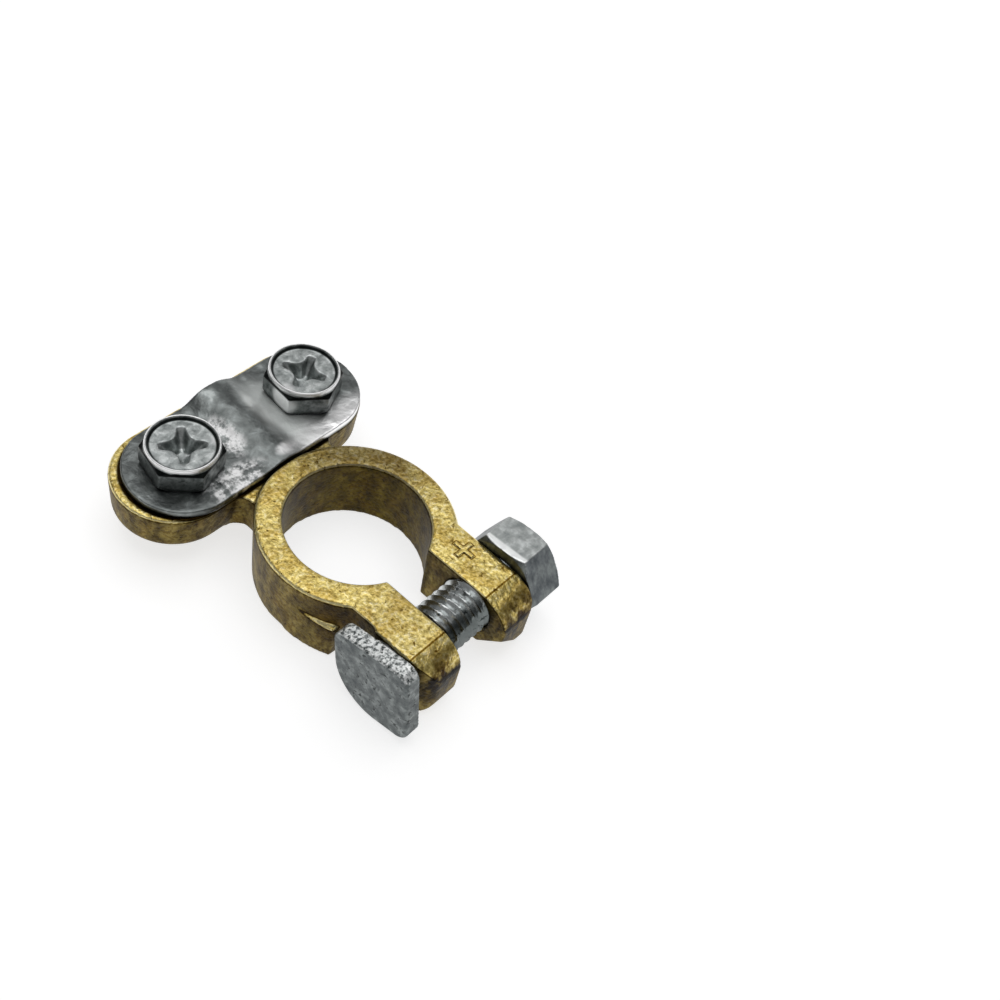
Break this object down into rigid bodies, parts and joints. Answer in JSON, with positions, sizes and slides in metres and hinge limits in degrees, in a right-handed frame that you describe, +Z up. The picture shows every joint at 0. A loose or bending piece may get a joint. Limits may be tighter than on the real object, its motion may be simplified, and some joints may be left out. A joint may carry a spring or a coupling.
{
  "type": "battery terminal clamp",
  "caption": "Cast brass ring clamp for a battery post, closed by a pinch bolt and nut, with a base, saddle plate and screws that hold the cable behind it.",
  "frame": {"origin": "on the axis of the post bore, in the plane of the ring's underside", "axes": "+Z up along the post bore, +Y from the bore towards the cable base, +X from the pinch bolt's head towards its nut"},
  "size_m": [0.041, 0.0558, 0.0155],
  "materials": {
    "cast_brass": "rough cast, dull and aged in the hollows",
    "zinc_plate": "zinc-plated pressed steel sheet",
    "zinc_left_screw": "zinc-plated steel",
    "zinc_right_screw": "zinc-plated steel",
    "zinc_bolt": "mottled zinc-plated steel",
    "zinc_nut": "zinc-plated steel"
  },
  "bodies": {
    "clamp_body": {"clamp_body": "cast_brass"},
    "saddle_plate": {"saddle_plate": "zinc_plate"},
    "cable_screw_left": {"cable_screw_left": "zinc_left_screw"},
    "cable_screw_right": {"cable_screw_right": "zinc_right_screw"},
    "pinch_bolt": {"pinch_bolt": "zinc_bolt"},
    "pinch_nut": {"pinch_nut": "zinc_nut"}
  },
  "joints": [
    {"name": "plate_lift", "type": "slide", "parent": "clamp_body", "child": "saddle_plate", "axis": [0, 0, 1], "range_m": [0, 0.0075]},
    {"name": "left_screw_turn", "type": "hinge", "parent": "saddle_plate", "child": "cable_screw_left", "pos_m": [-0.0111, 0.0224, 0.0111], "axis": [0, 0, 1], "range_deg": [0, 2700.5]},
    {"name": "right_screw_turn", "type": "hinge", "parent": "saddle_plate", "child": "cable_screw_right", "pos_m": [0.0111, 0.0224, 0.0111], "axis": [0, 0, 1], "range_deg": [0, 2700.5]},
    {"name": "pinch_bolt_slide", "type": "slide", "parent": "clamp_body", "child": "pinch_bolt", "axis": [1, 0, 0], "range_m": [-0.0009, 0.0014]},
    {"name": "pinch_nut_turn", "type": "hinge", "parent": "clamp_body", "child": "pinch_nut", "pos_m": [0.01065, -0.0172, 0.0067], "axis": [1, 0, 0], "range_deg": [-403.5, 259.5]}
  ],
  "couplings": [
    {"joint": "left_screw_turn", "follows": "plate_lift", "rad_per_m": 6283.2},
    {"joint": "right_screw_turn", "follows": "plate_lift", "rad_per_m": 6283.2},
    {"joint": "pinch_nut_turn", "follows": "pinch_bolt_slide", "rad_per_m": -5026.5}
  ]
}
